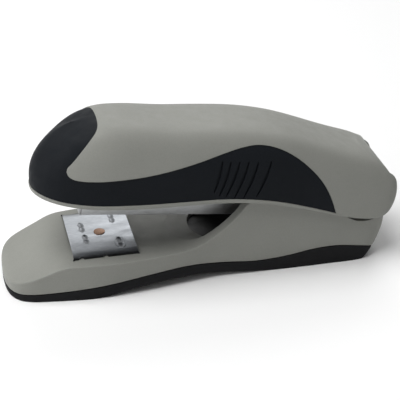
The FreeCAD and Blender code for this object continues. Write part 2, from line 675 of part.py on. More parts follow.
# ---------------------------------------------------------------- cap shell and soft grip
# The cap is drawn at rest.  Half of its outline seen from above rounds the nose and the tail;
# in between it runs clear of the sides, whose width comes from the sections across the cap.
CAP_PLAN = [(0.0, 0.0), (0.7, 4.2), (2.6, 8.0), (6.2, 12.0), (12.0, 15.2), (20.0, 17.2),
            (32.0, 18.4), (46.0, 19.0), (62.0, 19.3)]
CAP_TAIL = [(-36.0, 19.3), (-27.0, 19.2), (-18.0, 18.9), (-10.0, 18.3), (-5.0, 17.4), (-1.6, 15.8),
            (-0.2, 13.0), (0.0, 0.0)]
# Its side: the nose and the top, the round of the tail, and the rim underneath.
CAP_TOP = [(-60.4, 38.5), (-60.3, 42.0), (-59.2, 46.6), (-56.4, 51.8), (-52.0, 56.2),
           (-45.6, 59.9), (-36.0, 61.9), (-27.0, 61.3), (-13.0, 59.0), (1.0, 57.7), (15.0, 56.0),
           (28.0, 52.9), (38.0, 49.2), (48.0, 45.2), (57.0, 41.7), (61.0, 40.4)]
CAP_RIM = [(-58.6, 35.6), (-52.0, 34.7), (-43.0, 33.5), (-28.0, 32.7), (-8.0, 32.4), (6.0, 31.8),
           (16.0, 30.4), (28.0, 27.5), (40.0, 23.9), (48.0, 21.4), (55.0, 19.9), (61.0, 19.3),
           (66.0, 19.7)]
CAP_END = [(69.6, 22.4), (71.3, 28.0), (69.4, 34.4), (65.6, 38.6)]
# Section across the cap at a few stations: x, half width and height of the shoulder line.
STATIONS = [-64.0, -48.0, -36.0, -24.0, -10.0, 4.0, 16.0, 28.0, 40.0, 52.0, 62.0, 74.0]


def height_at(points, x):
    """Height of an outline at x, along straight lines between its points."""
    for (x0, z0), (x1, z1) in zip(points, points[1:]):
        if x0 <= x <= x1:
            return z0 + (z1 - z0) * (x - x0) / (x1 - x0)
    return points[-1][1] if x > points[-1][0] else points[0][1]


def cap_section(x, inset):
    """The cap's section at x: flat crown, round shoulders, sides that swell to the rim."""
    crown = height_at(CAP_TOP[6:], x) - inset
    rim = height_at(CAP_RIM, x)
    wide = dim("cap_half_rim") - inset
    shoulder = dim("cap_half_top") - 0.6 * inset
    rise = crown - rim
    side = [(wide, rim), (wide - 0.5, rim + 0.35 * rise), (wide - 2.4, rim + 0.68 * rise),
            (shoulder + 1.2, crown - 2.4), (shoulder - 1.4, crown - 0.5)]
    edges = []
    for way in (1, -1):
        edges.append(spline([(x, way * y, z) for y, z in side]))
        edges.append(line((x, way * wide, 5.0), (x, way * wide, rim)))
    lip = shoulder - 1.4
    edges.append(Part.Arc(V(x, lip, crown - 0.5), V(x, 0, crown), V(x, -lip, crown - 0.5)).toShape())
    edges.append(line((x, -wide, 5.0), (x, wide, 5.0)))
    return Part.Wire(Part.sortEdges(edges)[0])


def cap_body(inset):
    """The cap's outer form, drawn in by inset on every side but the open one below."""
    bar = Part.makeLoft([cap_section(x, inset) for x in STATIONS], True, True)
    squeeze = 1 - inset / dim("cap_half_rim")
    nose, tail = dim("cap_front") + inset, CAP_END[1][0] - inset
    front = [(nose + x, y * squeeze, 0.0) for x, y in CAP_PLAN]
    back = [(tail + x, y * squeeze, 0.0) for x, y in CAP_TAIL]
    half = [spline(front), line(front[-1], back[0]), spline(back)]
    plan = prism(half + [mirrored(e) for e in half], V(0, 0, 80))
    top = [(x + inset if x < -45 else x, z - inset) for x, z in CAP_TOP]
    if inset:
        end = [(x - inset * (x - HINGE.x) / 12, z - inset * (z - HINGE.z) / 12) for x, z in CAP_END]
        drop = 30.0
    else:
        end, drop = CAP_END, 0.0
    rim = at_side([(x, z - drop) for x, z in CAP_RIM])
    rim[0] = (rim[0][0] + inset, rim[0][1], rim[0][2])
    tail_arc = at_side(end)
    crown = at_side(top)
    edges = [spline(crown), line(crown[0], rim[0]), spline(rim)]
    if inset:
        edges += [line(rim[-1], tail_arc[0]), spline(tail_arc), line(tail_arc[-1], crown[-1])]
    else:
        edges.append(spline([rim[-1]] + tail_arc + [crown[-1]]))
    return bar.common(plan).common(side_prism(edges))


# The black overmould, from the side: round the whole nose and back along the lower flank.
GRIP_UPPER = [(-48.4, 47.6), (-46.0, 45.2), (-40.0, 44.6), (-31.0, 44.8), (-21.0, 45.6),
              (-11.8, 47.0), (-3.5, 48.4), (4.5, 50.0), (11.5, 50.8), (16.2, 50.6), (20.8, 49.6),
              (26.4, 47.5), (31.0, 44.9), (35.0, 41.6), (38.8, 37.4), (41.6, 33.4), (43.9, 28.8),
              (46.0, 23.6)]
GRIP_NOSE = [(-33.8, 64.0), (-36.2, 61.2), (-40.2, 57.6), (-44.0, 53.6), (-46.8, 50.4),
             (-48.2, 48.8), (-48.4, 47.6)]
GRIP_LOWER = [(46.0, 23.6), (36.0, 27.1), (29.2, 29.3), (20.9, 31.5), (6.4, 33.9), (-8.0, 34.6),
              (-25.0, 35.2), (-42.0, 35.9), (-52.0, 37.0), (-64.0, 38.2)]


def grip_region():
    """Everything inside the outline of the overmould, right across the cap."""
    nose, upper, lower = at_side(GRIP_NOSE), at_side(GRIP_UPPER), at_side(GRIP_LOWER)
    corner = (-64.0, -REACH, 70.0)
    over = (nose[0][0], -REACH, 70.0)
    return side_prism([spline(nose), spline(upper), spline(lower), line(lower[-1], corner),
                       line(corner, over), line(over, nose[0])])


def make_cap():
    outer, core, cavity = cap_body(0.0), cap_body(dim("grip_deep")), cap_body(dim("cap_wall"))
    grip = outer.common(grip_region()).cut(core)
    bosses = []
    for x in CAP_SCREWS:
        boss = Part.makeCylinder(3.2, 40, V(x, 0, web_high)).cut(
            Part.makeCylinder(SCREW_R, SCREW_LONG + web_low - web_high + 0.5, V(x, 0, web_high))
        )
        boss.Placement = CAP_REST.multiply(boss.Placement)
        bosses.append(boss.common(core))
    half = dim("recess_half")
    recess = block((63.8, 90.0), (-half, half), (0.0, 60.0))
    shell = outer.cut(grip).cut(cavity).fuse(bosses).cut(recess)
    inner_ring = disc_across(dim("cheek_round") - 2.4, -half, half)
    return shell.cut(inner_ring), grip


cap_shell, soft_grip = make_cap()
node(feature("cap_shell_form", cap_shell), "cap_shell")
node(feature("soft_grip_form", soft_grip), "soft_grip")


# ---------------------------------------------------------------- check and write
doc.recompute()
failed = [o.Label for o in doc.Objects if {"Invalid", "Error"} & set(o.State)]
failed += [n.Label for n in nodes if n.Shape.isNull() or not n.Shape.isValid()]
failed += [n.Label for n in nodes if len(n.Shape.Solids) != 1]
if failed:
    raise RuntimeError("not sound: " + ", ".join(failed))
for part in nodes:
    part.Shape.exportStep("parts/%s.step" % part.Label)
    size = part.Shape.BoundBox
    print("%-20s %9.1f mm3  %6.1f x %5.1f x %5.1f" %
          (part.Label, part.Shape.Volume, size.XLength, size.YLength, size.ZLength))
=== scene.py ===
# %% [markdown]
# # A desktop stapler, skinned around its working frame
#
# The frame holds every working piece at its real size: pins, springs, channels and the plain
# shells.  Here the moulded shells get their real curves, the anvil its stamped detail, the
# springs their coils, and every surface its finish.  Everything is in metres, in the frame's
# own place, so nothing has to be fitted afterwards.

# %% Load the frame and note its size
import bpy
import bmesh
import json
import math
import numpy as np
from mathutils import Matrix, Vector


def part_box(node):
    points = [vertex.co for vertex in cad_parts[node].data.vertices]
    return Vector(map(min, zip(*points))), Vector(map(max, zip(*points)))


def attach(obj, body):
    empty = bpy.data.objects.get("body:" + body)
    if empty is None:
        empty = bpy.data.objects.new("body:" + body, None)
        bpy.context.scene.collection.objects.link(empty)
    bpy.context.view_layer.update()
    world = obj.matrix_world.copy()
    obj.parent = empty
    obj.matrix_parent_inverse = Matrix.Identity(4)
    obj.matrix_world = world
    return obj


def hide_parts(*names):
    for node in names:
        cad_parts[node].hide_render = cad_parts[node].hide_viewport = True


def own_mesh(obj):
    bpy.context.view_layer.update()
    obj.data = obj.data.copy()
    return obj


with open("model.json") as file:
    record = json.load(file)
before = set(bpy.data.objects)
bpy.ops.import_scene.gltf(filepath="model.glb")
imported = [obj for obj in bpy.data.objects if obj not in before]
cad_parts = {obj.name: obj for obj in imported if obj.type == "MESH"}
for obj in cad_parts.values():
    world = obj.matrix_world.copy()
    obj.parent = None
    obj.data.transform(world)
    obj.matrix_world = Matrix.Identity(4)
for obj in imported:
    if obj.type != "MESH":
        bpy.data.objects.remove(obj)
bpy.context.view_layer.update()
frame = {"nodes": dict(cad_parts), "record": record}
MM = 0.001

# %% [markdown]
# ## Tools for smooth outlines
#
# A moulded shell is drawn from a few outlines: one from above, one from the side.  An outline
# keeps only the points that its shape needs, and a smooth curve runs through them.

# %% A smooth curve through a few points, and heights read from it


def smooth_curve(points, per_span=12):
    """Points on a smooth curve through the given ones, with even chords."""
    p = np.array(points, float)
    chord = np.linalg.norm(np.diff(p, axis=0), axis=1)
    t = np.concatenate([[0], np.cumsum(chord)])
    slope = np.gradient(p, t, axis=0, edge_order=1)
    out = []
    for i in range(len(p) - 1):
        h = t[i + 1] - t[i]
        for s in np.linspace(0, 1, per_span, endpoint=False):
            a, b = 2 * s**3 - 3 * s**2 + 1, s**3 - 2 * s**2 + s
            c, d = -2 * s**3 + 3 * s**2, s**3 - s**2
            out.append(a * p[i] + b * h * slope[i] + c * p[i + 1] + d * h * slope[i + 1])
    out.append(p[-1])
    return np.array(out)


def height_curve(points):
    """A function of x that follows a smooth curve through (x, z) points."""
    curve = smooth_curve(points)
    order = np.argsort(curve[:, 0], kind="stable")
    return lambda x: float(np.interp(x, curve[order, 0], curve[order, 1]))


def contour(half, count):
    """A closed outline seen from above: count points, evenly spaced, from a half outline.

    Each point comes with the outline's outward direction there.
    """
    one = smooth_curve(half)
    loop = np.vstack([one * (1, -1), one[::-1][1:-1]])
    closed = np.vstack([loop, loop[:1]])
    along = np.concatenate([[0], np.cumsum(np.linalg.norm(np.diff(closed, axis=0), axis=1))])
    places = np.linspace(0, along[-1], count, endpoint=False)
    xy = np.stack([np.interp(places, along, closed[:, k]) for k in (0, 1)], axis=1)
    run = np.roll(xy, -1, axis=0) - np.roll(xy, 1, axis=0)
    out = np.stack([run[:, 1], -run[:, 0]], axis=1)
    out /= np.linalg.norm(out, axis=1)[:, None]
    return xy, out


def smoothstep(x, low, high):
    t = np.clip((x - low) / (high - low), 0, 1)
    return t * t * (3 - 2 * t)


# %% [markdown]
# ## Tools for meshes
#
# A shell is modelled as a stack of closed loops, like the contour lines of a hill, bridged
# from one to the next.  Loops that go round the whole shell let the nose and the tail be as
# smooth as the sides.  Cuts, such as the bed of the soft grip, are made afterwards with a
# Boolean, whose cutter is a plain side outline pushed right through.

# %% Bridge loops, apply modifiers, cut


def finish_mesh(bm, name, sharp_deg=32.0):
    """Write a bmesh to a new object at the origin, smooth except at its sharp edges."""
    bmesh.ops.remove_doubles(bm, verts=bm.verts, dist=1e-6)
    bmesh.ops.recalc_face_normals(bm, faces=bm.faces)
    mesh = bpy.data.meshes.new(name)
    bm.to_mesh(mesh)
    bm.free()
    piece = bpy.data.objects.new(name, mesh)
    bpy.context.scene.collection.objects.link(piece)
    mark_sharp(piece, sharp_deg)
    return piece


def mark_sharp(piece, sharp_deg=32.0):
    bm = bmesh.new()
    bm.from_mesh(piece.data)
    for face in bm.faces:
        face.smooth = True
    for edge in bm.edges:
        edge.smooth = edge.is_manifold and edge.calc_face_angle(0) < math.radians(sharp_deg)
    bm.to_mesh(piece.data)
    bm.free()


def bridged(rings, close_first=False, close_last=False):
    """A bmesh skin over a stack of closed rings of points, given in mm."""
    bm = bmesh.new()
    rows = [[bm.verts.new(Vector(p) * MM) for p in ring] for ring in rings]
    count = len(rows[0])
    loops = []
    for row in rows:
        loops.append([bm.edges.new((row[i], row[(i + 1) % count])) for i in range(count)])
    for low, high in zip(loops, loops[1:]):
        bmesh.ops.bridge_loops(bm, edges=low + high)
    for wanted, loop in ((close_first, loops[0]), (close_last, loops[-1])):
        if wanted:
            bmesh.ops.contextual_create(bm, geom=loop)
    return bm


def applied(piece):
    """Replace the piece's mesh with its modifiers' result."""
    graph = bpy.context.evaluated_depsgraph_get()
    graph.update()
    mesh = bpy.data.meshes.new_from_object(piece.evaluated_get(graph))
    piece.modifiers.clear()
    piece.data = mesh
    return piece


def subdivided(piece, levels):
    mod = piece.modifiers.new("smooth", "SUBSURF")
    mod.levels = mod.render_levels = levels
    return applied(piece)


def combined(piece, other, operation, keep_other=False):
    """Boolean: DIFFERENCE, INTERSECT or UNION with another piece, which is then removed."""
    mod = piece.modifiers.new("cut", "BOOLEAN")
    mod.operation = operation
    mod.solver = "MANIFOLD"
    mod.object = other
    applied(piece)
    if not keep_other:
        bpy.data.objects.remove(other)
    return piece


def side_cutter(outline, name, low=-30.0, high=30.0):
    """A solid across the stapler between two distances, from an (x, z) outline in mm."""
    bm = bmesh.new()
    verts = [bm.verts.new((x * MM, low * MM, z * MM)) for x, z in outline]
    moved = bmesh.ops.extrude_face_region(bm, geom=[bm.faces.new(verts)])["geom"]
    lifted = [v for v in moved if isinstance(v, bmesh.types.BMVert)]
    bmesh.ops.translate(bm, verts=lifted, vec=(0, (high - low) * MM, 0))
    return finish_mesh(bm, name)


def block_cutter(x, y, z, name, round_mm=0.0):
    bm = bmesh.new()
    bmesh.ops.create_cube(bm, size=1.0)
    size = Vector((x[1] - x[0], y[1] - y[0], z[1] - z[0])) * MM
    bmesh.ops.scale(bm, vec=size, verts=bm.verts)
    middle = Vector((x[0] + x[1], y[0] + y[1], z[0] + z[1])) * MM / 2
    bmesh.ops.translate(bm, vec=middle, verts=bm.verts)
    if round_mm:
        bmesh.ops.bevel(bm, geom=bm.edges[:], offset=round_mm * MM, segments=4, profile=0.5,
                        affect="EDGES", material=-1)
    return finish_mesh(bm, name)


def disc_cutter(radius, low, high, name, segments=96):
    """A disc about the hinge pin, between two distances across."""
    bm = bmesh.new()
    bmesh.ops.create_cone(bm, cap_ends=True, segments=segments, radius1=radius * MM,
                          radius2=radius * MM, depth=(high - low) * MM)
    bmesh.ops.rotate(bm, verts=bm.verts, matrix=Matrix.Rotation(math.pi / 2, 3, "X"))
    middle = Vector((HINGE[0], (low + high) / 2, HINGE[1])) * MM
    bmesh.ops.translate(bm, vec=middle, verts=bm.verts)
    return finish_mesh(bm, name)


def pin_place():
    low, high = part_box("hinge_pin")
    return ((low[0] + high[0]) / 2 / MM, (low[2] + high[2]) / 2 / MM)


HINGE = pin_place()
print("hinge pin at", HINGE)

# %% [markdown]
# ## The camera
#
# The camera stands in front of the near side, a little over one third of a metre away, and
# looks down at about 30 degrees, slightly from the staple end.

# %% Camera, lights and floor
DISTANCE, ELEVATION, AZIMUTH, ROLL = 0.4192, 30.38, -14.27, 1.13
AIM = Vector((0.5, 0.0, 23.6)) * MM


def place_camera():
    e, a, r = (math.radians(v) for v in (ELEVATION, AZIMUTH, ROLL))
    back = Vector((math.sin(a) * math.cos(e), -math.cos(a) * math.cos(e), math.sin(e)))
    right = Vector((math.cos(a), math.sin(a), 0.0))
    up = back.cross(right)
    tilted_right = right * math.cos(r) + up * math.sin(r)
    tilted_up = up * math.cos(r) - right * math.sin(r)
    data = bpy.data.cameras.new("camera")
    data.lens = 104.7
    data.sensor_width = 36.0
    data.clip_start = 0.01
    camera = bpy.data.objects.new("camera", data)
    camera.matrix_world = Matrix.Translation(AIM + back * DISTANCE) @ Matrix(
        (tilted_right, tilted_up, back)).transposed().to_4x4()
    bpy.context.scene.collection.objects.link(camera)
    bpy.context.scene.camera = camera


def area_light(name, place, size, power, aim=(0, 0, 0.03)):
    data = bpy.data.lights.new(name, "AREA")
    data.shape = "RECTANGLE"
    data.size, data.size_y = size
    data.energy = power
    light = bpy.data.objects.new(name, data)
    light.location = place
    toward = Vector(aim) - Vector(place)
    light.rotation_euler = toward.to_track_quat("-Z", "Y").to_euler()
    bpy.context.scene.collection.objects.link(light)


WORLD_LEVEL = 0.15


def make_world():
    world = bpy.data.worlds.new("studio")
    bpy.context.scene.world = world
    world.use_nodes = True
    tree = world.node_tree
    tree.nodes.clear()
    path = tree.nodes.new("ShaderNodeLightPath")
    seen = tree.nodes.new("ShaderNodeMath")
    seen.operation = "MAXIMUM"
    also = tree.nodes.new("ShaderNodeMath")
    also.operation = "MAXIMUM"
    level = tree.nodes.new("ShaderNodeMapRange")
    level.inputs["To Min"].default_value = WORLD_LEVEL
    level.inputs["To Max"].default_value = 1.0
    sky = tree.nodes.new("ShaderNodeBackground")
    sky.inputs["Color"].default_value = (1, 1, 1, 1)
    out = tree.nodes.new("ShaderNodeOutputWorld")
    link = tree.links.new
    link(path.outputs["Is Camera Ray"], seen.inputs[0])
    link(path.outputs["Is Glossy Ray"], seen.inputs[1])
    link(seen.outputs[0], also.inputs[0])
    link(path.outputs["Is Transmission Ray"], also.inputs[1])
    link(also.outputs[0], level.inputs["Value"])
    link(level.outputs["Result"], sky.inputs["Strength"])
    link(sky.outputs[0], out.inputs[0])


def make_floor():
    bm = bmesh.new()
    bmesh.ops.create_grid(bm, x_segments=1, y_segments=1, size=3.0)
    bmesh.ops.translate(bm, verts=bm.verts, vec=(0, 0, -0.00002))
    floor = finish_mesh(bm, "floor")
    mat = bpy.data.materials.new("white_table")
    mat.use_nodes = True
    tree = mat.node_tree
    shader = tree.nodes["Principled BSDF"]
    shader.inputs["Base Color"].default_value = (0.92, 0.92, 0.92, 1)
    shader.inputs["Roughness"].default_value = 0.9
    shader.inputs["Specular IOR Level"].default_value = 0.1
    floor.data.materials.append(mat)
    return mat


bpy.context.scene.view_settings.view_transform = "Standard"
place_camera()
make_world()
make_floor()
area_light("key_above", (-0.38, -0.07, 0.82), (0.75, 0.75), 8.7)
area_light("fill_front", (-0.60, -0.70, 0.40), (0.6, 0.5), 0.4)
area_light("low_left", (-0.80, -0.20, 0.22), (0.4, 0.3), 1.3)
area_light("rim_back", (0.25, 0.55, 0.6), (0.5, 0.4), 2.0)
print("camera at", tuple(round(v, 4) for v in bpy.context.scene.camera.location))

# %% [markdown]
# ## Finishes
#
# Every finish is made of the same three layers: a broad, slow cloud that keeps a large surface
# from looking painted, a fine grain that gives the touch of the material, and a little change
# of roughness so that the gloss is never even.  All of them are noise on Object coordinates,
# so they need no unwrapping and stay where they are when the piece moves.
# An optional extra layer paints shade into the colour: the surface darkens below a given height.

# %% One helper that builds a finish
finishes = {}


def finish(name, colour, rough, metal=0.0, cloud=0.06, grain=0.0, grain_mm=0.3, bump_mm=0.01,
           stretch=(1, 1, 1), rough_swing=0.08, specular=0.5, depth=None, painted_edge_highlight=0.0):
    """A material: colour is linear, grain_mm the size of its texture, bump_mm its height."""
    mat = bpy.data.materials.new(name)
    mat.use_nodes = True
    tree = mat.node_tree
    add, link = tree.nodes.new, tree.links.new
    shader = tree.nodes["Principled BSDF"]
    shader.inputs["Metallic"].default_value = metal
    shader.inputs["Specular IOR Level"].default_value = specular
    place = add("ShaderNodeTexCoord")
    turn = add("ShaderNodeMapping")
    turn.inputs["Scale"].default_value = stretch
    link(place.outputs["Object"], turn.inputs["Vector"])

    def noise(size_mm, detail):
        node = add("ShaderNodeTexNoise")
        node.inputs["Scale"].default_value = 1000.0 / size_mm
        node.inputs["Detail"].default_value = detail
        link(turn.outputs["Vector"], node.inputs["Vector"])
        return node.outputs["Fac"]

    def spread(value, low, high, span=(0.3, 0.7)):
        node = add("ShaderNodeMapRange")
        node.inputs["From Min"].default_value, node.inputs["From Max"].default_value = span
        node.inputs["To Min"].default_value, node.inputs["To Max"].default_value = low, high
        link(value, node.inputs["Value"])
        return node.outputs["Result"]

    def product(a, b):
        node = add("ShaderNodeMath")
        node.operation = "MULTIPLY"
        link(a, node.inputs[0])
        link(b, node.inputs[1])
        return node.outputs["Value"]

    broad, fine = noise(24.0, 3.0), noise(grain_mm, 2.0)
    tone = product(spread(broad, 1 - cloud, 1 + cloud), spread(fine, 1 - grain, 1 + grain))
    # Painted shade: the colour is scaled from dark at the low height up to full at the high height,
    # in place of shade and dark reflection in hollows.
    if depth:
        height = add("ShaderNodeSeparateXYZ")
        link(place.outputs["Object"], height.inputs["Vector"])
        low, high, dark = depth
        tone = product(tone, spread(height.outputs["Z"], dark, 1.0, (low * MM, high * MM)))
    # Painted highlight: pointy edges are made lighter, in place of the bright line that light draws
    # along a rounded edge.
    if painted_edge_highlight:
        edge = add("ShaderNodeNewGeometry")
        tone = product(tone, spread(edge.outputs["Pointiness"], 1.0, 1.0 + painted_edge_highlight, (0.5, 0.62)))
    dyed = add("ShaderNodeVectorMath")
    dyed.operation = "SCALE"
    dyed.inputs[0].default_value = colour
    link(tone, dyed.inputs["Scale"])
    link(dyed.outputs["Vector"], shader.inputs["Base Color"])
    link(spread(noise(3.0, 3.0), rough - rough_swing, rough + rough_swing),
         shader.inputs["Roughness"])
    bump = add("ShaderNodeBump")
    bump.inputs["Strength"].default_value = 0.6
    bump.inputs["Distance"].default_value = bump_mm * MM
    link(fine, bump.inputs["Height"])
    link(bump.outputs["Normal"], shader.inputs["Normal"])
    finishes[name] = mat
    return mat


# %% [markdown]
# ## The finishes of this stapler
#
# The housing is a warm grey plastic with a fine spark-eroded texture.  The overmould is a soft
# black rubber, a little blue, with a finer and duller grain.  The anvil is nickel plated sheet:
# its pressed grooves and rolled edges get painted shade and painted dark reflection, so it
# darkens where it lies lower.

# %% Plastics, rubbers and metals
finish("grey_plastic", (0.228, 0.231, 0.211), 0.52, cloud=0.03, grain=0.035, grain_mm=0.45,
       bump_mm=0.035, specular=0.22)
finish("black_grip", (0.0050, 0.0063, 0.0083), 0.56, cloud=0.12, grain=0.16, grain_mm=0.35,
       bump_mm=0.03, specular=0.09)
finish("black_sole", (0.0060, 0.0060, 0.0068), 0.62, cloud=0.15, grain=0.2, grain_mm=0.5,
       bump_mm=0.05, specular=0.12)
# Painted shade and painted dark reflection: the anvil's grooves and rolled edges darken below 14.94
# mm.
finish("anvil_steel", (0.27, 0.283, 0.30), 0.36, metal=1.0, cloud=0.05, grain=0.10,
       grain_mm=0.5, bump_mm=0.006, stretch=(0.25, 1, 1), depth=(14.45, 14.94, 0.11))
finish("sheet_steel", (0.42, 0.427, 0.435), 0.40, metal=1.0, cloud=0.12, grain=0.10,
       grain_mm=0.6, bump_mm=0.008, stretch=(0.2, 1, 1))
finish("black_steel", (0.006, 0.006, 0.0066), 0.45, cloud=0.15, grain=0.15, grain_mm=0.3,
       bump_mm=0.01, specular=0.15)
finish("spring_steel", (0.12, 0.12, 0.125), 0.38, metal=1.0, cloud=0.15, grain=0.12,
       grain_mm=0.4, bump_mm=0.006)
finish("rivet_brass", (0.26, 0.16, 0.11), 0.45, metal=1.0, cloud=0.25, grain=0.25,
       grain_mm=0.3, bump_mm=0.02)
finish("staple_wire", (0.62, 0.63, 0.65), 0.26, metal=1.0, cloud=0.06, grain=0.10,
       grain_mm=0.3, bump_mm=0.004)
finish("pusher_plastic", (0.018, 0.018, 0.020), 0.45, cloud=0.10, grain=0.12, grain_mm=0.4,
       bump_mm=0.02)
finish("screw_steel", (0.42, 0.42, 0.43), 0.36, metal=1.0, cloud=0.15, grain=0.15,
       grain_mm=0.3, bump_mm=0.01)
print("finishes:", sorted(finishes))


# %% Give a finished piece its place in the frame


def fitted(piece, body, node, slot):
    """The piece rides on a body, stands for a frame node and takes its finish."""
    piece.data.materials.clear()
    piece.data.materials.append(finishes[slot])
    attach(piece, body)
    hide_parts(node)
    print(piece.name, len(piece.data.polygons), "faces")


# %% [markdown]
# ## Cap: the outlines
#
# From above the cap is a long rounded shape with a blunt nose.  From the side its crown climbs
# quickly behind the nose and then falls towards the hinge, while its rim waves.  Each contour
# ring takes a share of the way in from the rim to a spine along the middle, and of the way up
# from the rim to the crown.  The flank, the nose and the tail have their own shares, blended
# by the direction in which the outline faces.

# %% Cap outlines and the shares of its rings
CAP_NOSE, CAP_TAIL, CAP_HALF = -60.45, 71.0, 19.0
CAP_PLAN = [(0, 0), (0.5, 3.4), (1.7, 6.4), (4.4, 9.9), (8.6, 13.0), (14, 15.2), (21, 16.9),
            (32, 18.2), (46, 18.9), (62, 19.0)]
CAP_PLAN_TAIL = [(-36, 18.9), (-24, 18.75), (-15, 18.5), (-8, 18.1), (-3.6, 17.4), (-1.2, 16.0),
                 (-0.2, 13.6), (0, 10), (0, 5), (0, 0)]
CAP_CROWN = [(-60.4, 39), (-59.9, 43.4), (-58.4, 48.0), (-55.6, 52.4), (-51.4, 56.4),
             (-45.6, 59.7), (-36, 61.8), (-27, 61.2), (-13, 59), (1, 57.7), (15, 56),
             (28, 52.9), (38, 49.2), (48, 45.2), (54, 43.0), (58, 41.7), (61, 40.5), (64, 38.9),
             (66, 37.3)]
CAP_RIM = [(-61, 35.9), (-58.6, 35.3), (-52, 34.5), (-43, 33.5), (-28, 32.7), (-8, 32.4),
           (6, 31.8), (16, 30.4), (28, 27.5), (40, 23.8), (48, 21.1), (55, 19.1), (61, 18.2),
           (66, 18.7), (69, 20.4)]
# Share of the way out from the spine, share of the height.
CAP_FLANK = [(0.965, 0.0), (0.992, 0.03), (1.0, 0.08), (0.99, 0.22), (0.965, 0.42),
             (0.91, 0.62), (0.835, 0.78), (0.74, 0.895), (0.62, 0.957), (0.46, 0.985),
             (0.24, 0.997), (0.0, 1.0)]
# Share of the way out from the spine, height in mm.
CAP_NOSE_RISE = [(0.975, 35.9), (0.993, 36.4), (1.0, 37.4), (1.0, 40.5), (0.985, 43.6),
                 (0.925, 47.0), (0.82, 50.2), (0.68, 53.1), (0.52, 55.6), (0.34, 57.7),
                 (0.17, 59.3), (0.0, 60.3)]
CAP_TAIL_RISE = [(0.78, 20.4), (0.87, 21.6), (0.94, 23.2), (0.985, 25.4), (1.0, 28.2),
                 (0.975, 31.1), (0.90, 33.8), (0.78, 36.3), (0.62, 38.3), (0.44, 39.7),
                 (0.22, 41.0), (0.0, 41.7)]
SPINE = (-44.0, 58.0)

cap_crown, cap_rim = height_curve(CAP_CROWN), height_curve(CAP_RIM)
cap_half = ([(CAP_NOSE + x, y) for x, y in CAP_PLAN]
            + [(CAP_TAIL + x, y) for x, y in CAP_PLAN_TAIL])
cap_xy, cap_out = contour(cap_half, 104)
print("cap outline:", len(cap_xy), "points, half width", cap_xy[:, 1].max())


# %% The cap's rings


def cap_rings():
    spine_x = np.interp(cap_xy[:, 0], (CAP_NOSE, CAP_TAIL), SPINE)
    nose = np.clip(-cap_out[:, 0], 0, 1) ** 2
    tail = np.clip(cap_out[:, 0], 0, 1) ** 1.5 * (cap_xy[:, 0] > 40)
    rings = []
    for flank, front, rear in zip(CAP_FLANK, CAP_NOSE_RISE, CAP_TAIL_RISE):
        share = (1 - nose - tail) * flank[0] + nose * front[0] + tail * rear[0]
        x = spine_x + (cap_xy[:, 0] - spine_x) * share
        y = cap_xy[:, 1] * share
        low = np.array([cap_rim(v) for v in x])
        high = np.array([cap_crown(v) for v in x])
        side = low + (high - low) * flank[1]
        z = (1 - nose - tail) * side + nose * front[1] + tail * rear[1]
        rings.append(np.stack([x, y, z], axis=1))
    return rings


def cap_form(name):
    """The cap's outer surface as a closed body, its flat underside included."""
    rings = cap_rings()
    floor_ring = rings[0] * (1, 0, 1)
    floor_ring[:, 0] = rings[-1][:, 0]
    bm = bridged([floor_ring] + rings)
    return finish_mesh(bm, name)


cap_body = cap_form("cap_body")
mark_sharp(cap_body, 60)
subdivided(cap_body, 2)
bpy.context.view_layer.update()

# %% [markdown]
# ## Cap: a shell from a body
#
# Layers of the cap, such as the wall, the bed of the soft grip and the grip itself, all follow
# the same outer surface.  A layer is that surface moved along its normals and given a
# thickness, so every layer fits the next one exactly.

# %% Open skin and its layers


def open_skin(body, name):
    """A copy of the body's surface without the flat underside."""
    skin = body.copy()
    skin.data = body.data.copy()
    skin.name = name
    bpy.context.scene.collection.objects.link(skin)
    bm = bmesh.new()
    bm.from_mesh(skin.data)
    under = [f for f in bm.faces if f.normal.z < -0.75]
    bmesh.ops.delete(bm, geom=under, context="FACES")
    bm.to_mesh(skin.data)
    bm.free()
    return skin


def layer(skin, outer_mm, inner_mm, name):
    """The solid between two distances from the skin: positive is outside it."""
    body = skin.copy()
    body.data = skin.data.copy()
    body.name = name
    bpy.context.scene.collection.objects.link(body)
    shift = body.modifiers.new("shift", "DISPLACE")
    shift.direction = "NORMAL"
    shift.mid_level = 0.0
    shift.strength = outer_mm * MM
    wall = body.modifiers.new("wall", "SOLIDIFY")
    wall.thickness = (outer_mm - inner_mm) * MM
    wall.offset = -1.0
    wall.use_even_offset = False
    return applied(body)


# %% [markdown]
# ## Cap: the tail
#
# Behind the hinge the middle of the cap rounds off and drops, and only two round lobes go on
# past it, one on each side of the pin.

# %% Cut the middle of the tail
LOBE_INNER = 13.4
TAIL_DROP = [(54.5, 46.0), (57.0, 43.3), (59.5, 41.3), (62.0, 39.6), (64.4, 37.7), (66.6, 35.1),
             (68.2, 32.3), (69.1, 29.4), (69.4, 26.0), (69.4, 15.0)]
drop_line = [tuple(p) for p in smooth_curve(TAIL_DROP, 8)] + [(90.0, 15.0), (90.0, 60.0),
                                                              (53.0, 60.0)]
tail_gap = side_cutter(drop_line, "tail_gap", -LOBE_INNER, LOBE_INNER)
combined(cap_body, tail_gap, "DIFFERENCE")
cap_skin = open_skin(cap_body, "cap_skin")
bpy.data.objects.remove(cap_body)
cap_shell = layer(cap_skin, 0.0, -2.0, "cap_shell_skin")
print("shell:", len(cap_shell.data.polygons), "faces")

# %% [markdown]
# ## Cap: the bed of the soft grip
#
# The black overmould lies in a shallow bed in the grey shell, and stands back from it by a
# quarter of a millimetre, so a fine grey lip shows all along the rim.

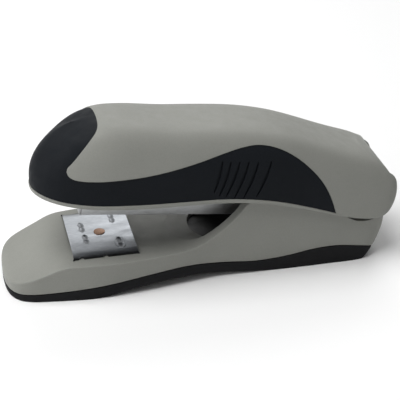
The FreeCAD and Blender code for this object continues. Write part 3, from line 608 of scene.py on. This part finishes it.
# %% The grip's outline, its bed and the grip itself
GRIP_UPPER = [(-48.6, 47.5), (-48.1, 46.3), (-46.6, 45.3), (-44, 44.8), (-40, 44.6), (-31, 44.8), (-21, 45.6), (-11.8, 47),
              (-3.5, 48.7), (4.5, 50.6), (11.5, 51.8), (16.2, 51.9), (20.8, 51.0),
              (26.4, 48.7), (31, 45.7), (35, 42.2), (38.8, 38.0), (41.6, 33.8), (43.9, 28.8),
              (45.8, 23.2)]
GRIP_NOSE = [(-33.8, 64.5), (-36.2, 61.4), (-40.0, 57.9), (-43.8, 53.8), (-46.9, 50.2),
             (-48.2, 48.8), (-48.6, 47.5)]
GRIP_LOWER = [(45.8, 23.2), (36, 26.9), (29.2, 29.2), (20.9, 31.5), (6.4, 33.9), (-8, 34.6),
              (-25, 35.0), (-42, 35.7), (-52, 36.7), (-56, 37.3), (-66, 38.4)]


def grip_outline(drawn_in=0.0):
    upper = smooth_curve(GRIP_NOSE, 6)[:-1].tolist() + smooth_curve(GRIP_UPPER, 6)[:-1].tolist()
    lower = smooth_curve(GRIP_LOWER, 6).tolist()
    loop = np.array(upper + lower + [(-66, 70), (-33.8, 70)])
    if drawn_in:
        run = np.roll(loop, -1, axis=0) - np.roll(loop, 1, axis=0)
        out = np.stack([run[:, 1], -run[:, 0]], axis=1)
        out /= np.linalg.norm(out, axis=1)[:, None]
        loop = loop + out * drawn_in
    return [tuple(p) for p in loop]


bed = layer(cap_skin, 1.0, -1.1, "bed")
combined(bed, side_cutter(grip_outline(), "bed_outline"), "INTERSECT")
combined(cap_shell, bed, "DIFFERENCE")
grip = layer(cap_skin, -0.22, -1.05, "grip_skin")
combined(grip, side_cutter(grip_outline(0.06), "grip_outline"), "INTERSECT")
print("grip:", len(grip.data.polygons), "faces, shell:", len(cap_shell.data.polygons))

# %% [markdown]
# ## Grip: the ribs
#
# Six shallow grooves lean back across the grip where the thumb rests.  They are deepest in the
# middle and run out to nothing at both ends, as a ball cutter leaves them in the mould.

# %% Rib grooves
RIBS = [((3.9, 48.0), (0.6, 36.8)), ((6.8, 47.4), (2.4, 35.2)), ((10.0, 47.2), (4.9, 34.9)),
        ((13.2, 46.8), (7.8, 33.9)), ((16.6, 46.2), (11.0, 33.4)), ((21.4, 46.0), (15.8, 33.6))]


def rib_blade(top, bottom, index):
    """A thin leaning leaf, bowed a little, seen from the side."""
    start, end = np.array(top), np.array(bottom)
    along = end - start
    across = np.array([-along[1], along[0]]) / np.linalg.norm(along)
    rear, front = [], []
    for s in np.linspace(0.0, 1.0, 13):
        middle = start + along * s + across * 0.2 * math.sin(math.pi * s)
        half = 0.5 * math.sin(math.pi * (0.08 + 0.90 * s)) ** 0.7
        rear.append(middle + across * half)
        front.append(middle - across * half)
    return side_cutter([tuple(p) for p in rear + front[::-1]], f"rib_{index}")


grooves = layer(cap_skin, 1.0, -0.80, "grooves")
blades = rib_blade(*RIBS[0], 0)
for index, (top, bottom) in enumerate(RIBS[1:], 1):
    combined(blades, rib_blade(top, bottom, index), "UNION")
combined(grooves, blades, "INTERSECT")
combined(grip, grooves, "DIFFERENCE")
bpy.data.objects.remove(cap_skin)
print("grip with ribs:", len(grip.data.polygons))


# %% [markdown]
# ## Soft edges
#
# Moulded and pressed edges are never quite sharp.  A small bevel on the hard edges of the base,
# the sole, the anvil plate and the pressed steel gives them the thin highlight that a real edge
# shows; the cap and its grip keep their edges as cut.

# %% A bevel tool, the room under the cap's tail, and the cap in place


def soft_edges(piece, width_mm, segments=2, angle=40.0):
    mod = piece.modifiers.new("edges", "BEVEL")
    mod.width = width_mm * MM
    mod.segments = segments
    mod.profile = 0.5
    mod.limit_method = "ANGLE"
    mod.angle_limit = math.radians(angle)
    mod.use_clamp_overlap = True
    applied(piece)
    mark_sharp(piece, 40)
    return piece


combined(cap_shell, block_cutter((57.0, 90.0), (-LOBE_INNER + 0.1, LOBE_INNER - 0.1), (0.0, 31.0),
                                 "under_tail"), "DIFFERENCE")
combined(cap_shell, disc_cutter(8.6, -LOBE_INNER + 0.15, LOBE_INNER - 0.15, "pin_room"), "DIFFERENCE")
mark_sharp(cap_shell, 40)
mark_sharp(grip, 30)
cap_shell.name = "cap_shell_moulded"
grip.name = "soft_grip_moulded"
fitted(cap_shell, "cap", "cap_shell", "grey_plastic")
fitted(grip, "cap", "soft_grip", "black_grip")

# %% [markdown]
# ## Base: the outlines
#
# The base starts as a low ramp at the nose, runs level under the anvil, and climbs in two
# cheeks that go up inside the cap.  The same kind of rings make it: up the outer wall, over a
# rounded ridge and in across the top.  The line where grey housing meets black sole waves
# along the side, and the sole's underside arches clear of the table in the middle.

# %% Base outlines
BASE_NOSE, BASE_TAIL_X = -71.55, 68.35
BASE_PLAN = [(0, 0), (0.15, 5), (0.7, 9), (2.0, 12.5), (4.6, 15.6), (8.6, 17.2), (14, 18.1),
             (20, 18.9), (31, 20.0), (40, 20.0), (52, 19.0), (61, 17.8), (69, 16.6), (76, 15.9),
             (84, 15.7)]
BASE_PLAN_TAIL = [(-22, 15.7), (-10, 15.5), (-4.4, 14.6), (-1.4, 12.6), (-0.3, 9.5), (0, 5),
                  (0, 0)]
TOP_LINE = [(-71.6, 4.6), (-71.3, 5.4), (-70.2, 6.3), (-67.2, 7.4), (-62, 9.2), (-57, 11.3),
            (-52.6, 13.2), (-50.5, 13.7), (-47, 13.8), (-30, 13.8), (-14, 13.8), (-8, 14.0),
            (-3, 15.0), (1.5, 17.3), (5.5, 20.3), (9.2, 23.6), (12.3, 27.2), (14.6, 30.6),
            (16.5, 30.9), (20, 30.2), (46, 23.4), (62, 21.2), (68.4, 20.2)]
SOLE_LINE = [(-73, 2.2), (-67, 2.5), (-53, 3.3), (-38, 4.8), (-25, 6.3), (-8, 7.2), (8, 5.7),
             (18, 4.7), (28, 5.2), (41, 7.1), (49, 7.2), (58, 5.8), (70, 3.2)]
ARCH_LINE = [(-80, 0), (-38, 0), (-30, 1.5), (-17, 2.7), (-4, 2.6), (9, 1.2), (20, 0), (80, 0)]
HEEL_LINE = [(-1, -14.5), (0, -12.5), (1.9, -7.0), (5.0, -3.4), (9.5, -0.9), (15.0, 0.0),
             (25.0, 0.0)]
BASE_SPINE = (-58.0, 60.0)
DECK = 13.8

top_line = height_curve(TOP_LINE)
sole_line, arch_line = height_curve(SOLE_LINE), height_curve(ARCH_LINE)
heel_line = height_curve(HEEL_LINE)
base_half = ([(BASE_NOSE + x, y) for x, y in BASE_PLAN]
             + [(BASE_TAIL_X + x, y) for x, y in BASE_PLAN_TAIL])
base_xy, base_out = contour(base_half, 132)
print("base outline:", len(base_xy), "points, half width", base_xy[:, 1].max())


# %% Rings of the housing and of the sole
RIDGE_IN = 2.4


def inward(xy, out, drawn_mm, share=1.0):
    """The outline drawn in square to itself, then by a share towards the spine."""
    near = xy - out * drawn_mm
    spine_x = np.interp(xy[:, 0], (BASE_NOSE, BASE_TAIL_X), BASE_SPINE)
    x = spine_x + (near[:, 0] - spine_x) * share
    return x, near[:, 1] * share


def base_ring(drawn_mm, height, share=1.0):
    """One ring: height(x) gives its level, and the heel leans in under its tail."""
    x, y = inward(base_xy, base_out, drawn_mm, share)
    tail = np.clip(base_out[:, 0], 0, 1) * (base_xy[:, 0] > 0)
    z = np.array([height(v) for v in x])
    lean = np.array([heel_line(v) for v in z])
    return np.stack([x + lean * tail, y, z], axis=1)


def housing_rings():
    def wall(x):
        return top_line(x) - sole_line(x)

    rings = [base_ring(1.6, lambda x: sole_line(x) + 0.12),
             base_ring(0.35, lambda x: sole_line(x) + 0.12),
             base_ring(0.05, lambda x: sole_line(x) + min(0.45, 0.15 * wall(x))),
             base_ring(0.0, lambda x: sole_line(x) + 0.35 * wall(x)),
             base_ring(0.0, lambda x: sole_line(x) + 0.65 * wall(x)),
             base_ring(0.02, lambda x: top_line(x) - min(0.9, 0.2 * wall(x))),
             base_ring(0.06, lambda x: top_line(x) - min(0.38, 0.10 * wall(x))),
             base_ring(0.20, lambda x: top_line(x) - min(0.09, 0.03 * wall(x))),
             base_ring(0.48, lambda x: top_line(x) - 0.01),
             base_ring(RIDGE_IN, top_line)]
    for share in (0.86, 0.66, 0.44, 0.22, 0.0):
        rings.append(base_ring(RIDGE_IN, top_line, share))
    return rings


def sole_rings():
    rings = [base_ring(3.0, arch_line, share) for share in (0.0, 0.3, 0.6, 0.85, 1.0)]
    rings += [base_ring(1.3, arch_line),
              base_ring(0.5, lambda x: arch_line(x) + 0.12),
              base_ring(0.12, lambda x: arch_line(x) + 0.5),
              base_ring(0.06, lambda x: arch_line(x) + 0.45 * (sole_line(x) - arch_line(x))),
              base_ring(0.10, lambda x: sole_line(x) - 0.22),
              base_ring(0.32, lambda x: sole_line(x) - 0.03),
              base_ring(1.4, sole_line)]
    return rings


def closed_form(rings, floor_z, name, levels=2):
    """Bridge the rings, shut the open underside along the spine, and smooth the whole."""
    shut = rings[0] * (1, 0, 1)
    shut[:, 0] = np.interp(base_xy[:, 0], (BASE_NOSE, BASE_TAIL_X), BASE_SPINE)
    shut[:, 2] = [floor_z(v) for v in shut[:, 0]]
    piece = finish_mesh(bridged([shut] + rings), name)
    return subdivided(piece, levels)


base_shell = closed_form(housing_rings(), lambda x: sole_line(x) + 0.12, "base_shell_moulded")
sole = sole_rings()
sole_piece = closed_form(sole[::-1], sole_line, "base_sole_moulded")
print("base form:", len(base_shell.data.polygons), "sole:", len(sole_piece.data.polygons))

# %% [markdown]
# ## Base: hollows, cheeks and ears
#
# A hollow between the cheeks gives the magazine room to close, and the deep well below it lets
# the springs and the steel frame be seen.  Its front is rounded like the end of a spoon.  Round
# the hinge the cheeks are cut back to a circle, so that the cap's lobes can turn past them.

# %% Hollow between the cheeks, and the well
CHEEK_INNER, WELL_HALF, WELL_FLOOR = 12.0, 11.3, 9.6


def spoon(front, rear, half, low, high, name, round_share=1.0):
    """A block with a half round front end, seen from above."""
    bm = bmesh.new()
    depth = half * round_share
    arc = [(front + depth - depth * math.cos(t), half * math.sin(t))
           for t in np.linspace(-math.pi / 2, math.pi / 2, 33)]
    loop = arc + [(rear, half), (rear, -half)]
    verts = [bm.verts.new((x * MM, y * MM, low * MM)) for x, y in loop]
    moved = bmesh.ops.extrude_face_region(bm, geom=[bm.faces.new(verts)])["geom"]
    lifted = [v for v in moved if isinstance(v, bmesh.types.BMVert)]
    bmesh.ops.translate(bm, verts=lifted, vec=(0, 0, (high - low) * MM))
    return finish_mesh(bm, name)


combined(base_shell, spoon(-12.0, 90.0, CHEEK_INNER, DECK, 45.0, "cheek_gap", 0.9),
         "DIFFERENCE")
combined(base_shell, spoon(-4.0, 64.2, WELL_HALF, WELL_FLOOR, 20.0, "well", 0.8), "DIFFERENCE")
combined(base_shell, disc_cutter(11.6, -13.45, 13.45, "ear_room"), "DIFFERENCE")
for side in (-1, 1):
    low, high = sorted((side * 13.25, side * 24.0))
    combined(base_shell, disc_cutter(12.35, low, high, "lobe_room"), "DIFFERENCE")


def hinge_ear(low, high, name):
    """A plate that stands on the base and carries the hinge pin."""
    arc = [(HINGE[0] + 8 * math.cos(t), HINGE[1] + 8 * math.sin(t))
           for t in np.linspace(math.pi, 0.0, 33)]
    foot = [(HINGE[0] + 2.0, 12.0), (HINGE[0] - 13.0, 12.0)]
    return side_cutter(arc + foot, name, low, high)


for low, high in ((-13.2, -10.95), (10.95, 13.2)):
    combined(base_shell, hinge_ear(low, high, "ear"), "UNION")
soft_edges(base_shell, 0.22)
fitted(base_shell, "base", "base_shell", "grey_plastic")

# %% [markdown]
# ## Sole: button recess and screw holes
#
# The sole is a separate dark moulding.  Underneath it has a round recess for the anvil's
# release button and a counterbore for each screw.

# %% Cut the underside


def upright_cutter(x, y, radius, low, high, name):
    bm = bmesh.new()
    bmesh.ops.create_cone(bm, cap_ends=True, segments=64, radius1=radius * MM,
                          radius2=radius * MM, depth=(high - low) * MM)
    bmesh.ops.translate(bm, verts=bm.verts, vec=(x * MM, y * MM, (low + high) / 2 * MM))
    return finish_mesh(bm, name)


def middle_of(node):
    low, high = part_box(node)
    return [(a + b) / 2 / MM for a, b in zip(low, high)]


ANVIL = middle_of("anvil_button")
combined(sole_piece, upright_cutter(ANVIL[0], ANVIL[1], 6.5, -1.0, 12.0, "button_hole"),
         "DIFFERENCE")
for number in (1, 2, 3, 4):
    x, y, z = middle_of(f"base_screw_{number}")
    combined(sole_piece, upright_cutter(x, y, 2.65, -1.0, 2.7, "screw_hole"), "DIFFERENCE")
soft_edges(sole_piece, 0.2)
fitted(sole_piece, "base", "base_sole", "black_sole")

# %% [markdown]
# ## Anvil plate
#
# The anvil is a small plated sheet with its near and far edges rolled down into the deck.  Four
# grooves, each two round-bottomed dimples in line, bend the staple legs, and one of them
# stands in a raised oval.  A flat grid is bent first and then given its thickness, because
# that keeps the sheet even round the bend.

# %% The bent sheet
PLATE_LOW, PLATE_HIGH = (tuple(v / MM for v in corner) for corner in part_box("anvil_plate"))
PLATE_X = (PLATE_LOW[0], PLATE_HIGH[0])
PLATE_HALF, PLATE_TOP = PLATE_HIGH[1], PLATE_HIGH[2]
ROLL_WIDE, ROLL_DROP, SHEET = 2.9, 0.62, 0.48


def bent_plate():
    bm = bmesh.new()
    bmesh.ops.create_grid(bm, x_segments=30, y_segments=72, size=0.5)
    wide, long = PLATE_X[1] - PLATE_X[0], 2 * PLATE_HALF
    for v in bm.verts:
        x = (PLATE_X[0] + PLATE_X[1]) / 2 + v.co.x * wide
        y = v.co.y * long
        roll = max(0.0, abs(y) - (PLATE_HALF - ROLL_WIDE)) / ROLL_WIDE
        v.co = Vector((x, y, PLATE_TOP - ROLL_DROP * roll**1.8)) * MM
    corners = [v for v in bm.verts if len(v.link_edges) == 2]
    for v in corners:
        v.co += Vector((math.copysign(-0.35, v.co.x * 1000 - sum(PLATE_X) / 2),
                        math.copysign(-0.35, v.co.y), 0)) * MM
    bmesh.ops.solidify(bm, geom=bm.faces[:], thickness=SHEET * MM)
    return finish_mesh(bm, "anvil_plate_pressed")


plate = bent_plate()
print("plate:", [round(v / MM, 2) for v in plate.bound_box[0]],
      [round(v / MM, 2) for v in plate.bound_box[6]])


# %% Grooves, oval and notches
GROOVES = [(-42.3, 0.9, 7.2), (-41.9, -7.2, -1.1), (-30.7, 5.2, 11.4), (-30.3, -11.6, -5.0)]


def groove_cutter(x, low, high, name):
    """Two overlapping balls, flattened, that press the two dimples of one groove."""
    parts = []
    for index, y in enumerate((low + 1.7, high - 1.7)):
        bm = bmesh.new()
        bmesh.ops.create_uvsphere(bm, u_segments=28, v_segments=18, radius=1.0)
        bmesh.ops.scale(bm, vec=Vector((1.15, 2.1, 0.58)) * MM, verts=bm.verts)
        bmesh.ops.translate(bm, verts=bm.verts, vec=Vector((x, y, PLATE_TOP + 0.18)) * MM)
        parts.append(finish_mesh(bm, name))
    return combined(parts[0], parts[1], "UNION")


def oval_rim(x, low, high, wide, tube):
    """A rounded bead laid in an oval, standing half its height above the sheet."""
    bm = bmesh.new()
    middle, half = (low + high) / 2, (high - low) / 2
    rings = []
    for t in np.linspace(0, 2 * math.pi, 64, endpoint=False):
        out = Vector((math.cos(t) * half, math.sin(t) * wide, 0)).normalized()
        centre = Vector((x + wide * math.cos(t), middle + half * math.sin(t), PLATE_TOP - 0.05))
        ring = []
        for u in np.linspace(0, 2 * math.pi, 10, endpoint=False):
            point = centre + out * tube * math.cos(u) + Vector((0, 0, 0.2 * math.sin(u)))
            ring.append(bm.verts.new(point * MM))
        rings.append([bm.edges.new((ring[i], ring[(i + 1) % 10])) for i in range(10)])
    for one, other in zip(rings, rings[1:] + rings[:1]):
        bmesh.ops.bridge_loops(bm, edges=one + other)
    return finish_mesh(bm, "oval_rim")


last = GROOVES[-1]
combined(plate, oval_rim(last[0], last[1] - 0.2, last[2] + 0.2, 1.75, 0.34), "UNION")
for index, (x, low, high) in enumerate(GROOVES):
    combined(plate, groove_cutter(x, low, high, f"groove_{index}"), "DIFFERENCE")
for side in (-1, 1):
    for x in (-45.0, -36.6):
        combined(plate, upright_cutter(x, side * (PLATE_HALF + 0.25), 0.95, 13.0, 16.0, "notch"),
                 "DIFFERENCE")
soft_edges(plate, 0.07, segments=2, angle=35)
fitted(plate, "anvil", "anvil_plate", "anvil_steel")

# %% [markdown]
# ## Springs
#
# A coil is a small wire circle spun round its axis while it climbs.  The frame has plain tubes
# in their place; here each coil rides on the body that carries its node.

# %% Coils


def coil(name, start, length, radius, wire, turns, steps=20, sides=8):
    """A coil from start along +Z, climbing evenly from one end to the other."""
    bm = bmesh.new()
    made = bmesh.ops.create_circle(bm, segments=sides, radius=wire * MM, cap_ends=True)
    turn = Matrix.Rotation(math.pi / 2, 3, "X")
    bmesh.ops.rotate(bm, verts=made["verts"], matrix=turn)
    offset = Vector(start) * MM + Vector((radius * MM, 0, wire * MM))
    bmesh.ops.translate(bm, verts=made["verts"], vec=offset)
    climb = (length - 2 * wire) / (turns * steps)
    bmesh.ops.spin(bm, geom=bm.faces[:] + bm.edges[:] + bm.verts[:], cent=Vector(start) * MM,
                   axis=(0, 0, 1), dvec=(0, 0, climb * MM), angle=2 * math.pi * turns,
                   steps=turns * steps, use_duplicate=False, use_merge=False)
    return finish_mesh(bm, name, 60)


low, high = (tuple(v / MM for v in c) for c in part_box("anvil_spring"))
wire = 0.38
anvil_coil = coil("anvil_spring_coil", ((low[0] + high[0]) / 2, 0, low[2]), high[2] - low[2],
                  (high[0] - low[0]) / 2 - wire, wire, 5)
fitted(anvil_coil, "anvil_lift", "anvil_spring", "spring_steel")
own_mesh(anvil_coil)

REST_TILT = math.radians(6.9)
TILT = Matrix.Rotation(REST_TILT, 4, "Y")
low, high = (tuple(v / MM for v in c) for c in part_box("pusher_spring"))
long = (high[0] - low[0]) / math.cos(REST_TILT) - 4.0 * math.tan(REST_TILT)
push_coil = coil("pusher_spring_coil", (0, 0, 0), long, 1.8, 0.2, 26, steps=14, sides=6)
rear = Vector((high[0] - 0.3, 0, low[2] + 2.0)) * MM
lay = Matrix.Rotation(-math.pi / 2, 4, "Y")
push_coil.data.transform(Matrix.Translation(rear) @ TILT @ lay)
print("pusher spring", [round(v / MM, 1) for v in low], [round(v / MM, 1) for v in high], long)
fitted(push_coil, "magazine", "pusher_spring", "spring_steel")
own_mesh(push_coil)

# %% [markdown]
# ## Staple strip
#
# A strip is several dozen bent wires glued side by side.  One staple is made as an outline with
# rounded corners and given the depth of its wire; the rest are copies a wire's width apart.

# %% The staples
STAPLE_WIDE, STAPLE_TALL, WIRE_DEEP, WIRE_TALL = 12.7, 6.0, 0.50, 0.62


def staple_outline():
    """Half crown and one leg, mirrored: an upside down U with round shoulders."""
    half, tall, round_mm = STAPLE_WIDE / 2, STAPLE_TALL, 0.9
    outer, inner = [], []
    for t in np.linspace(0, math.pi / 2, 5):
        outer.append((half - round_mm + round_mm * math.cos(t), -round_mm + round_mm * math.sin(t)))
        inner.append((half - round_mm + (round_mm - WIRE_TALL) * math.cos(t),
                      -round_mm + (round_mm - WIRE_TALL) * math.sin(t)))
    right = [(half, -tall)] + outer
    left = [(-y, z) for y, z in right[::-1]]
    under = [(-half + WIRE_TALL, -tall)] + [(-y, z) for y, z in inner]
    back = [(y, z) for y, z in inner[::-1]] + [(half - WIRE_TALL, -tall)]
    return right + left + under + back


def staple_strip():
    bm = bmesh.new()
    low, high = (tuple(v / MM for v in c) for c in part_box("staple_strip"))
    strip_long = 36.0
    count = int(strip_long / WIRE_DEEP)
    level = []
    for index in range(count):
        x = index * WIRE_DEEP
        verts = [bm.verts.new(Vector((x, y, z)) * MM) for y, z in staple_outline()]
        moved = bmesh.ops.extrude_face_region(bm, geom=[bm.faces.new(verts)])["geom"]
        lifted = [v for v in moved if isinstance(v, bmesh.types.BMVert)]
        bmesh.ops.translate(bm, verts=lifted, vec=((WIRE_DEEP - 0.06) * MM, 0, 0))
        level += verts + lifted
    strip = finish_mesh(bm, "staple_strip_wires")
    tilted_front_top = Vector((low[0] + STAPLE_TALL * math.sin(REST_TILT) * 0, 0, 0))
    strip.data.transform(TILT)
    box = [min(v.co.x for v in strip.data.vertices), max(v.co.z for v in strip.data.vertices)]
    shift = Vector((low[0] * MM - box[0], 0, high[2] * MM - box[1]))
    strip.data.transform(Matrix.Translation(shift))
    return strip


staples = staple_strip()
fitted(staples, "magazine", "staple_strip", "staple_wire")

# %% [markdown]
# ## Pressed steel with real edges
#
# The frame's steel nodes have the true shape but razor edges.  A copy is merged, its flat faces
# are joined again, and every edge gets the small radius that bending and tumbling leave.

# %% Soft copies of the steel nodes
SOFT_COPIES = {"magazine_channel": 0.28, "magazine_face": 0.25, "cap_frame": 0.18,
               "base_frame": 0.18, "hinge_spacer": 0.25, "rod_bracket": 0.12,
               "pusher": 0.3, "hinge_pin": 0.35, "anvil_button": 0.4, "anvil_rivet": 0.12,
               "driver_blade": 0.1, "lift_spring": 0.06, "cap_spring": 0.06,
               "base_screw_1": 0.15, "base_screw_2": 0.15, "base_screw_3": 0.15,
               "base_screw_4": 0.15, "anvil_post": 0.2, "staple_rail": 0.1}
slot_of = {part["node"]: part["material_slot"] for part in frame["record"]["subparts"]}
body_of = {node: body for body, nodes in frame["record"]["behaviour"]["bodies"].items()
           for node in nodes}


def soft_copy(node, width_mm):
    """A merged copy of a node with a bevel on its edges, standing for that node."""
    piece = bpy.data.objects.new(f"{node}_eased", frame["nodes"][node].data.copy())
    bpy.context.scene.collection.objects.link(piece)
    bm = bmesh.new()
    bm.from_mesh(piece.data)
    bmesh.ops.remove_doubles(bm, verts=bm.verts, dist=2e-6)
    bmesh.ops.dissolve_limit(bm, angle_limit=math.radians(1.0), verts=bm.verts, edges=bm.edges)
    bm.to_mesh(piece.data)
    bm.free()
    soft_edges(piece, width_mm, segments=2, angle=38)
    fitted(piece, body_of[node], node, slot_of[node])
    return piece


eased = {node: soft_copy(node, width) for node, width in SOFT_COPIES.items()}

# %% The rivet's head stands a little proud of the plate
RIVET_PROUD, RIVET_SPREAD = 0.3, 1.15
rivet = eased["anvil_rivet"]
rivet_box = [tuple(v[k] / MM for v in rivet.bound_box) for k in range(3)]
rivet_middle = [(min(side) + max(side)) / 2 for side in rivet_box]
rivet_top = max(rivet_box[2])
for v in rivet.data.vertices:
    v.co.x = rivet_middle[0] * MM + (v.co.x - rivet_middle[0] * MM) * RIVET_SPREAD
    v.co.y = rivet_middle[1] * MM + (v.co.y - rivet_middle[1] * MM) * RIVET_SPREAD
    v.co.z += (PLATE_TOP + RIVET_PROUD - rivet_top) * MM * (v.co.z / MM > rivet_middle[2])
print("rivet top was", round(rivet_top, 2), "plate top", round(PLATE_TOP, 2))

# %% [markdown]
# ## Frame nodes that keep their shape
#
# Pressed steel, pins, rivets and screws already have their true shape, so they only get their
# finish, by name.

# %% Finishes for the frame's own nodes
for part in frame["record"]["subparts"]:
    item = frame["nodes"][part["node"]]
    item.data.materials.clear()
    item.data.materials.append(finishes[part["material_slot"]])
print("nodes with finishes:", len(frame["nodes"]))
